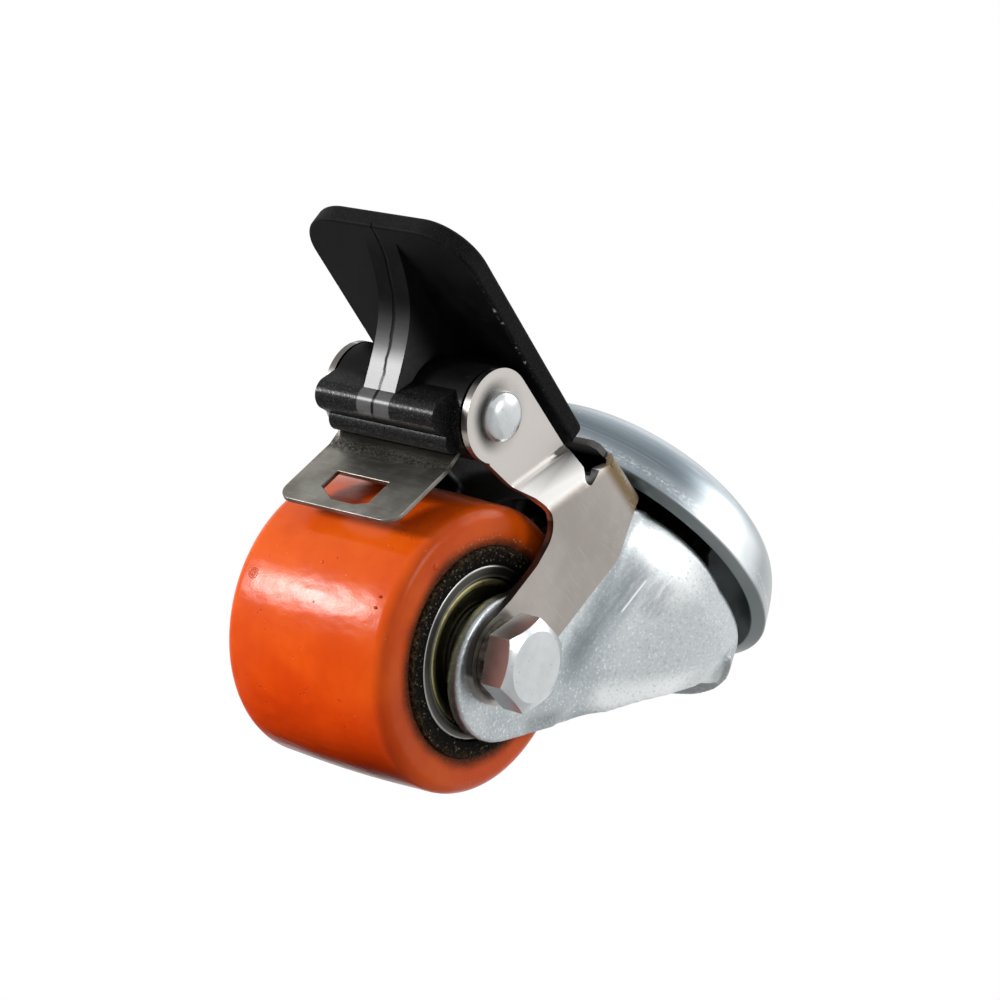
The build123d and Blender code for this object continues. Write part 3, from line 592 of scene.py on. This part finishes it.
def mark_hollow(piece, depth, blur=0):
    # depth(place in mm, outward direction) is 1 inside the part, where little light gets in and the finishes
    # paint shade with some grime, and near 1 on a few outward edges painted as shaded
    mesh = piece.data
    value = np.array([float(depth(v.co / MM, v.normal)) for v in mesh.vertices])
    ends = np.empty(len(mesh.edges) * 2, dtype=np.int32)
    mesh.edges.foreach_get("vertices", ends)
    a, b = ends[0::2], ends[1::2]
    links = 1 + np.bincount(ends, minlength=len(value))
    for _ in range(blur):
        drawn_in = np.bincount(a, value[b], len(value)) + np.bincount(b, value[a], len(value))
        value = (value + drawn_in) / links
    layer = mesh.attributes.new("hollow", "FLOAT", "POINT")
    layer.data.foreach_set("value", value.astype(np.float32))


def rounded(outline):
    # closed outline of (r, h, radius) corners, each corner with a radius replaced by an arc
    arc_step = 0.22
    line = []
    count = len(outline)
    for k, (r, h, radius) in enumerate(outline):
        here = Vector((r, h))
        if radius == 0:
            line.append(here)
            continue
        before = (Vector(outline[k - 1][:2]) - here).normalized()
        after = (Vector(outline[(k + 1) % count][:2]) - here).normalized()
        half = before.angle(after) / 2
        back = radius / math.tan(half)
        centre = here + (before + after).normalized() * (radius / math.sin(half))
        start = here + before * back - centre
        turn = start.angle_signed(here + after * back - centre)
        parts = max(3, round(abs(turn) / arc_step))
        for step in range(parts + 1):
            c = math.cos(turn * step / parts)
            s = math.sin(turn * step / parts)
            line.append(centre + Vector((start.x * c + start.y * s, start.y * c - start.x * s)))
    return line


def lathe(name, line, steps, centre=AXLE, about="Y"):
    # closed outline (r, h) swept round an axis along Y or Z through the centre
    within_metres = 1e-7
    points = []
    for k in range(steps):
        spin = 2 * math.pi * k / steps
        for r, h in line:
            if about == "Y":
                place = (centre.x + r * math.cos(spin), h, centre.z + r * math.sin(spin))
            else:
                place = (centre.x + r * math.cos(spin), centre.y + r * math.sin(spin), h)
            points.append([c * MM for c in place])
    count = len(line)
    faces = []
    for k in range(steps):
        for j in range(count):
            a, b = k * count, ((k + 1) % steps) * count
            faces.append((a + j, a + (j + 1) % count, b + (j + 1) % count, b + j))
    mesh = bpy.data.meshes.new(name)
    mesh.from_pydata(points, [], faces)
    shape = bmesh.new()
    shape.from_mesh(mesh)
    bmesh.ops.remove_doubles(shape, verts=shape.verts, dist=within_metres)
    bmesh.ops.recalc_face_normals(shape, faces=shape.faces)
    shape.to_mesh(mesh)
    shape.free()
    mesh.shade_smooth()
    mesh.set_sharp_from_angle(angle=math.radians(32))
    return new_piece(name, mesh)


def curve(start, pull_a, pull_b, end, parts):
    # points along a line from start to end that the two pulls bend
    line = []
    for k in range(parts + 1):
        t = k / parts
        s = 1 - t
        shares = (s ** 3, 3 * s * s * t, 3 * s * t * t, t ** 3)
        corners = (start, pull_a, pull_b, end)
        line.append(tuple(sum(share * p[i] for share, p in zip(shares, corners)) for i in (0, 1)))
    return line


# Pieces that stand for CAD nodes. Each within_ function tells mark_hollow how far inside a point lies, which
# the finishes darken as painted shade.

def within_dome(p, n):
    facing_in = n.x * p.x + n.y * p.y < -0.25 * p.xy.length
    facing_down = n.z < -0.25 and p.z > -13.6
    return p.z < -2.0 and (facing_in or facing_down)


def pressed_dome():
    # housing of the swivel head: one sheet, flat on top, with a slanted cut round its rim
    rim_r, height, sheet = 33.05, 14.0, 2.8
    bore_r, flat_r, inner_flat_r = 9.0, 13.5, 17.7
    edge = (rim_r - 0.86 * sheet, -height - 0.49 * sheet)
    pull = (-0.164 * height, 0.529 * height)
    shoulder = rim_r - 0.182 * height
    outer = curve((rim_r, -height), (rim_r + pull[0], -height + pull[1]), (shoulder, 0), (flat_r, 0), 40)
    edge_pull = (edge[0] + 0.85 * pull[0], edge[1] + 0.85 * pull[1])
    inner = curve((inner_flat_r, -sheet), (shoulder - sheet, -sheet), edge_pull, edge, 30)
    rim = rounded([(*outer[1], 0), (rim_r, -height, 0.3), (*edge, 0.35), (*inner[-2], 0)])[1:-1]
    line = [(bore_r, 0.0), (bore_r, -sheet)] + inner[:-1] + [tuple(p) for p in reversed(rim)] + outer[1:]
    dome = lathe("dome", line, 220, SWIVEL, about="Z")
    stand_in(dome, "top_housing")
    mark_hollow(dome, within_dome)


def wheel():
    # crowned tyre, keyed into the hub moulding
    edge_r, edge_round, crown, crown_half = 24.5, 2.6, 0.5, 15.4
    key = [(HUB_R, -9.0, 0), (19.2, -7.8, 0), (19.2, 7.8, 0), (HUB_R, 9.0, 0)]
    near_side = [(HUB_R, TYRE_SIDE, 0.25), (edge_r, TYRE_SIDE, edge_round)]
    tread = [(edge_r + crown * (1 - (h / crown_half) ** 2), h, 0) for h in range(12, -13, -3)]
    far_side = [(edge_r, -TYRE_SIDE, edge_round), (HUB_R, -TYRE_SIDE, 0.25)]
    stand_in(lathe("tyre", rounded(near_side + tread + far_side + key), 240), "tread")
    stop_r = 13.0
    far_end = [(stop_r, -BEARING_BACK, 0), (BEARING_R, -BEARING_BACK, 0), (BEARING_R, -HUB_SIDE, 0.2)]
    near_end = [(BEARING_R, HUB_SIDE, 0.2), (BEARING_R, BEARING_BACK, 0), (stop_r, BEARING_BACK, 0)]
    outside = [(HUB_R, -HUB_SIDE, 0.45)] + key + [(HUB_R, HUB_SIDE, 0.45)]
    stand_in(lathe("hub_moulding", rounded(far_end + outside + near_end), 200), "wheel_core")


def bearing_faces():
    # ground outer rings with rolled corners, shields pressed with a bead and a dished inner flange
    face, step, land_r, step_r = 18.3, 17.6, 12.096, 12.8
    ring = [
        (land_r, BEARING_BACK, 0), (BEARING_R, BEARING_BACK, 0.5), (BEARING_R, face, 0.6),
        (step_r, face, 0.12), (step_r, step, 0), (land_r, step, 0),
        (land_r, 15.0, 0), (12.36, BEARING_MIDDLE, 0), (land_r, 12.6, 0),
    ]
    shield = [
        (8.86, 17.55, 0.1), (12.75, 17.6, 0.08), (12.75, 17.95, 0.15), (12.1, 18.02, 0.15),
        (11.5, 17.95, 0.2), (11.2, 17.78, 0.1), (9.3, 17.72, 0.1), (8.86, 17.68, 0.05),
    ]
    for side, sign in (("near", 1), ("far", -1)):
        pairs = (
            ("outer_ring_" + side, ring, "bearing_outer_" + side),
            ("shield_" + side, shield, "bearing_shield_" + side + "_out"),
        )
        for name, outline, node in pairs:
            line = rounded([(r, sign * h, corner) for r, h, corner in outline])
            stand_in(lathe(name, line, 180), node)


def pedal_rivet():
    # low domed near head, far end set over
    shank_r, near_arm, far_arm = 3.0, 17.0, -15.0
    head = [
        (0.0, 19.62), (0.9, 19.58), (1.8, 19.47), (2.6, 19.30), (3.3, 19.05),
        (3.8, 18.75), (4.15, 18.35), (4.33, 17.9), (4.35, 17.4), (4.3, near_arm),
    ]
    shank = [(shank_r, near_arm), (shank_r, far_arm)]
    set_over = [
        (4.0, far_arm), (4.05, -15.6), (3.9, -16.1), (3.4, -16.5), (2.6, -16.68), (1.4, -16.7), (0.0, -16.7),
    ]
    stand_in(lathe("rivet", head + shank + set_over, 96, RIVET), "pivot_rivet")


def within_bracket(p, n):
    inner_face = n.y * p.y < -0.4 * abs(p.y)
    under_bridge = n.z < -0.4 and p.z > -24.0 and abs(p.y) < 21.6
    # cut edges and the bridge's front face outward, and are marked for painted shade
    cut_edge = 0.8 if n.x > 0.5 and abs(n.y) < 0.5 and p.z < -24.5 else 0
    bridge_front = 0.9 if n.x > 0.1 and p.z > -24.0 and abs(p.y) < 21.0 else 0
    return 1 if inner_face or under_bridge else max(cut_edge, bridge_front)


def edged_parts():
    # folded, moulded and machined parts keep the CAD shape with broken edges
    bracket = soft_edges("brake_bracket", 0.22)
    mark_hollow(bracket, within_bracket)
    soft_edges("pedal", 0.4, 3)
    soft_edges("brake_plate", 0.14)
    soft_edges("axle_bolt", 0.16)
    soft_edges("axle_nut", 0.2)
    soft_edges("spring_washer", 0.15)


def within_fork(p, n):
    inner_face = abs(p.y) < 20.6 and n.y * p.y < -0.35 * abs(p.y)
    under_crown = n.z < -0.4 and p.z > -23.5 and p.xy.length < 29.0
    inner_wall = n.x * p.x + n.y * p.y < -0.35 * p.xy.length and p.xy.length < 29.5 and p.x < 20
    # front edges face outward, and are marked for painted shade
    front_edge = 0.9 if n.x > 0.35 and p.x > 31 and p.z > -52 else 0
    return 1 if inner_face or under_crown or inner_wall else front_edge


def smooth(piece, name, rounds, group=""):
    soften = piece.modifiers.new(name, "SMOOTH")
    soften.factor = 0.5
    soften.iterations = rounds
    soften.vertex_group = group


def pressed_fork():
    # one sheet drawn over a tool: every edge rounded, the valleys beside the legs run out softly, and the
    # crown swells over each flank
    voxel = 0.45
    cone_r, cone_top, cone_taper = 30.5, -24.0, 0.2514
    leg_side, leg_inside, valley_top = 21.7, 20.6, -19.0
    valley_half, valley_fade = 7.0, 3.0
    swell, swell_x, swell_half = 1.2, 13.0, 11.0
    flank_r, flank_fade, swell_low, swell_rise = 25.5, 3.0, -26.0, 6.0
    piece = new_piece("fork_pressed", merged_mesh("fork"))
    skin = piece.modifiers.new("even_skin", "REMESH")
    skin.mode = "VOXEL"
    skin.voxel_size = voxel * MM
    settle(piece)
    valley = piece.vertex_groups.new(name="valley")
    for v in piece.data.vertices:
        x, y, z = (c / MM for c in v.co)
        reach = cone_r - cone_taper * max(0.0, cone_top - z)
        if abs(y) < leg_inside or z > valley_top or reach < leg_side:
            continue
        away = abs(x - math.sqrt(reach * reach - leg_side * leg_side))
        if away < valley_half:
            valley.add([v.index], min(1.0, (valley_half - away) / valley_fade), "REPLACE")
    smooth(piece, "valley_run_out", 70, "valley")
    smooth(piece, "eased_edges", 7)
    settle(piece)
    piece.vertex_groups.clear()
    for v in piece.data.vertices:
        x, y, z = (c / MM for c in v.co)
        over_flank = max(0.0, 1 - ((x - swell_x) / swell_half) ** 2)
        over_flank *= min(1.0, max(0.0, (math.hypot(x, y) - flank_r) / flank_fade))
        v.co.z += swell * MM * over_flank * min(1.0, max(0.0, (z - swell_low) / swell_rise))
    piece.data.shade_smooth()
    stand_in(piece, "fork")
    mark_hollow(piece, within_fork, blur=4)


# What repeats is grown by Geometry Nodes and settled as plain mesh

class Grower:
    def __init__(self, name, sizes):
        self.tree = bpy.data.node_groups.new(name, "GeometryNodeTree")
        sockets = self.tree.interface
        sockets.new_socket("Base", in_out="INPUT", socket_type="NodeSocketGeometry")
        for label, kind in sizes.items():
            sockets.new_socket(label, in_out="INPUT", socket_type="NodeSocket" + kind)
        sockets.new_socket("Finish", in_out="INPUT", socket_type="NodeSocketMaterial")
        sockets.new_socket("Grown", in_out="OUTPUT", socket_type="NodeSocketGeometry")
        self.given = self.tree.nodes.new("NodeGroupInput").outputs
        self.result = self.tree.nodes.new("NodeGroupOutput").inputs

    def add(self, kind, values, settings=None, out=0):
        node = self.tree.nodes.new(kind)
        for key, value in (settings or {}).items():
            setattr(node, key, value)
        for key, value in values.items():
            if isinstance(value, bpy.types.NodeSocket):
                self.tree.links.new(value, node.inputs[key])
            else:
                node.inputs[key].default_value = value
        return node.outputs[out]

    def ball(self, radius, segments, rings):
        values = {"Segments": segments, "Rings": rings, "Radius": radius}
        plain = self.add("GeometryNodeMeshUVSphere", values)
        return self.add("GeometryNodeSetShadeSmooth", {"Geometry": plain})

    def end(self, geometry):
        whole = self.add("GeometryNodeRealizeInstances", {"Geometry": geometry})
        dressed = self.add("GeometryNodeSetMaterial", {"Geometry": whole, "Material": self.given["Finish"]})
        self.tree.links.new(dressed, self.result["Grown"])

    def grow(self, name, base, values):
        piece = new_piece(name, base)
        maker = piece.modifiers.new("grown", "NODES")
        maker.node_group = self.tree
        for item in self.tree.interface.items_tree:
            if item.name in values:
                maker[item.identifier] = values[item.name]
        return settle(piece)


def ball_rows():
    # one ball at each point of a circle that is laid flat or stood on edge
    g = Grower("ball_row", {
        "Balls": "Int", "Ball radius": "Float", "Pitch radius": "Float", "Centre": "Vector", "Tilt": "Vector",
    })
    ring = g.add("GeometryNodeMeshCircle", {"Vertices": g.given["Balls"], "Radius": g.given["Pitch radius"]})
    ball = g.ball(g.given["Ball radius"], 24, 14)
    balls = g.add("GeometryNodeInstanceOnPoints", {"Points": ring, "Instance": ball})
    g.end(g.add("GeometryNodeTransform", {
        "Geometry": balls, "Translation": g.given["Centre"], "Rotation": g.given["Tilt"],
    }))
    flat, on_edge = (0.0, 0.0, 0.0), (math.pi / 2, 0.0, 0.0)
    rows = (
        ("swivel_balls_upper", 12, 3.0, 13.5, (0, 0, -8.1), flat),
        ("swivel_balls_lower", 14, 2.5, 12.8, (0, 0, -19.6), flat),
        ("bearing_balls_near", 8, 2.3815, 10.0, (AXLE.x, BEARING_MIDDLE, AXLE.z), on_edge),
        ("bearing_balls_far", 8, 2.3815, 10.0, (AXLE.x, -BEARING_MIDDLE, AXLE.z), on_edge),
    )
    for node, count, ball_r, pitch_r, centre, tilt in rows:
        piece = g.grow(node + "_grown", bpy.data.meshes.new(node), {
            "Balls": count, "Ball radius": ball_r * MM, "Pitch radius": pitch_r * MM,
            "Centre": tuple(c * MM for c in centre), "Tilt": tilt, "Finish": finish_of[node],
        })
        stand_in(piece, node)


def hub_crumbs():
    # dirt crumbs scattered over both faces of the hub moulding
    points, faces = [], []
    steps, inner_r, outer_r = 72, 15.5, 17.8
    for face, sign in enumerate((1, -1)):
        for k in range(steps):
            spin = 2 * math.pi * k / steps
            for r in (inner_r, outer_r):
                place = (AXLE.x + r * math.cos(spin), sign * HUB_SIDE, AXLE.z + r * math.sin(spin))
                points.append([c * MM for c in place])
            a = face * 2 * steps + 2 * k
            b = face * 2 * steps + 2 * ((k + 1) % steps)
            faces.append((a, b, b + 1, a + 1) if sign > 0 else (a, a + 1, b + 1, b))
    base = bpy.data.meshes.new("hub_faces")
    base.from_pydata(points, [], faces)
    g = Grower("crumb_scatter", {
        "Per square metre": "Float", "Seed": "Int", "Least": "Float", "Most": "Float",
    })
    seed = g.given["Seed"]
    spots = g.add("GeometryNodeDistributePointsOnFaces", {
        "Mesh": g.given["Base"], "Density": g.given["Per square metre"], "Seed": seed,
    })
    crumb = g.add("GeometryNodeMeshIcoSphere", {"Radius": 1.0, "Subdivisions": 1})
    sizes = {2: g.given["Least"], 3: g.given["Most"], "Seed": seed}
    size = g.add("FunctionNodeRandomValue", sizes, {"data_type": "FLOAT"}, out=1)
    turns = {0: (0.0, 0.0, 0.0), 1: (6.28, 6.28, 6.28), "Seed": seed}
    turn = g.add("FunctionNodeRandomValue", turns, {"data_type": "FLOAT_VECTOR"})
    g.end(g.add("GeometryNodeInstanceOnPoints", {
        "Points": spots, "Instance": crumb, "Rotation": turn, "Scale": size,
    }))
    crumbs = g.grow("hub_crumbs", base, {
        "Per square metre": 1.4e6, "Seed": 7, "Least": 0.07 * MM, "Most": 0.24 * MM, "Finish": DIRT,
    })
    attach(crumbs, "wheel")


def casting_nibs():
    # small pips of polyurethane left where the mould was vented, each a share of the full size
    spots = ((57.61, -0.17, -62.22), (56.98, 14.2, -65.27), (56.38, 14.02, -67.09), (53.75, 17.55, -55.82))
    base = bpy.data.meshes.new("nib_spots")
    base.from_pydata([[c * MM for c in spot] for spot in spots], [], [])
    shares = base.attributes.new("share", "FLOAT", "POINT")
    shares.data.foreach_set("value", (0.55, 0.32, 0.32, 1.0))
    g = Grower("casting_nibs", {"Nib radius": "Float"})
    nib = g.ball(g.given["Nib radius"], 16, 10)
    share = g.add("GeometryNodeInputNamedAttribute", {"Name": "share"}, {"data_type": "FLOAT"})
    g.end(g.add("GeometryNodeInstanceOnPoints", {"Points": g.given["Base"], "Instance": nib, "Scale": share}))
    nibs = g.grow("casting_nibs", base, {"Nib radius": 0.8 * MM, "Finish": TREAD})
    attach(nibs, "wheel")


def bolt_thread():
    # the last turn of the thread, a ridge that follows a helix round the far end of the axle bolt
    g = Grower("thread_turn", {
        "Turns": "Float", "Radius": "Float", "Rise": "Float", "Ridge": "Float", "Centre": "Vector",
    })
    path = g.add("GeometryNodeCurveSpiral", {
        "Resolution": 48, "Rotations": g.given["Turns"], "Start Radius": g.given["Radius"],
        "End Radius": g.given["Radius"], "Height": g.given["Rise"],
    })
    ridge = g.add("GeometryNodeCurvePrimitiveCircle", {"Resolution": 8, "Radius": g.given["Ridge"]})
    wound = g.add("GeometryNodeCurveToMesh", {"Curve": path, "Profile Curve": ridge, "Fill Caps": True})
    g.end(g.add("GeometryNodeTransform", {
        "Geometry": wound, "Translation": g.given["Centre"], "Rotation": (math.pi / 2, 0.0, 0.0),
    }))
    thread = g.grow("bolt_thread", bpy.data.meshes.new("bolt_thread"), {
        "Turns": 1.0, "Radius": 3.85 * MM, "Rise": 0.9 * MM, "Ridge": 0.25 * MM,
        "Centre": (AXLE.x * MM, -32.75 * MM, AXLE.z * MM), "Finish": BRIGHT,
    })
    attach(thread, body_of["axle_bolt"])


# Stage: floor under the wheel that shows only from above, soft lamps, white surround, the photograph's view

def floor():
    half = 1.5
    z = WHEEL_FOOT * MM
    mesh = bpy.data.meshes.new("floor")
    corners = [(-half, -half, z), (half, -half, z), (half, half, z), (-half, half, z)]
    mesh.from_pydata(corners, [], [(0, 1, 2, 3)])
    plane = new_piece("floor", mesh)
    material = bpy.data.materials.new("floor_pale")
    material.use_nodes = True
    tree = material.node_tree
    pale = tree.nodes["Principled BSDF"]
    pale.inputs["Base Color"].default_value = (0.9, 0.9, 0.9, 1)
    pale.inputs["Roughness"].default_value = 0.8
    clear = tree.nodes.new("ShaderNodeBsdfTransparent")
    side = tree.nodes.new("ShaderNodeNewGeometry")
    both = tree.nodes.new("ShaderNodeMixShader")
    tree.links.new(side.outputs["Backfacing"], both.inputs[0])
    tree.links.new(pale.outputs[0], both.inputs[1])
    tree.links.new(clear.outputs[0], both.inputs[2])
    tree.links.new(both.outputs[0], tree.nodes["Material Output"].inputs["Surface"])
    mesh.materials.append(material)
    plane.visible_shadow = False


def lamp(name, place, aim, size, power):
    data = bpy.data.lights.new(name, "AREA")
    data.shape = "DISK"
    data.size = size
    data.energy = power
    light = new_piece(name, data)
    light.location = place
    light.rotation_mode = "QUATERNION"
    light.rotation_quaternion = (Vector(aim) - Vector(place)).to_track_quat("-Z", "Y")


def lamps():
    # one strong box low on the left makes the tyre's highlight, and the others fill
    middle = (0.045, 0, -0.05)
    lamp("left_box", (0.452, -0.358, -0.195), (0.056, 0.005, -0.068), 0.13, 3.0)
    lamp("front_box", (0.151, 0.477, 0.146), middle, 0.20, 0.5)
    lamp("top_box", (-0.12, 0.30, 0.48), middle, 0.34, 0.6)
    lamp("sky_box", (-0.15, -0.10, 1.0), (0.02, 0, -0.083), 1.2, 3.4)


def surround():
    # white to the camera and in reflections, and a low even fill otherwise
    white = (1, 1, 1, 1)
    world = bpy.data.worlds.new("surround")
    bpy.context.scene.world = world
    world.use_nodes = True
    tree = world.node_tree
    seen = tree.nodes["Background"]
    seen.inputs["Color"].default_value = white
    fill = tree.nodes.new("ShaderNodeBackground")
    fill.inputs["Color"].default_value = white
    fill.inputs["Strength"].default_value = 0.28
    path = tree.nodes.new("ShaderNodeLightPath")
    mask = path.outputs["Is Camera Ray"]
    for ray in ("Is Glossy Ray", "Is Transmission Ray"):
        either = tree.nodes.new("ShaderNodeMath")
        either.operation = "MAXIMUM"
        tree.links.new(mask, either.inputs[0])
        tree.links.new(path.outputs[ray], either.inputs[1])
        mask = either.outputs[0]
    both = tree.nodes.new("ShaderNodeMixShader")
    tree.links.new(mask, both.inputs[0])
    tree.links.new(fill.outputs[0], both.inputs[1])
    tree.links.new(seen.outputs[0], both.inputs[2])
    tree.links.new(both.outputs[0], tree.nodes["World Output"].inputs["Surface"])


def camera():
    # fitted to the photograph: the castor hangs tilted there, so the view looks up from below the floor's
    # height
    data = bpy.data.cameras.new("photo_view")
    data.sensor_fit = "HORIZONTAL"
    data.sensor_width = 36.0
    data.lens = 114.7
    data.shift_x = 0.0461
    data.shift_y = -0.0138
    data.clip_start = 0.01
    data.clip_end = 20
    view = new_piece("photo_view", data)
    right = Vector((-0.42406, 0.75349, 0.50241))
    up = Vector((0.61248, -0.17004, 0.77198))
    back = Vector((0.66711, 0.63509, -0.38939))
    turn = Matrix((right, up, back)).transposed()
    view.matrix_world = Matrix.Translation(Vector((404.87, 345.82, -245.24)) * MM) @ turn.to_4x4()
    bpy.context.scene.camera = view


pressed_dome()
wheel()
bearing_faces()
pedal_rivet()
edged_parts()
pressed_fork()
ball_rows()
hub_crumbs()
casting_nibs()
bolt_thread()
floor()
lamps()
surround()
camera()
bpy.context.scene.view_settings.view_transform = "Standard"
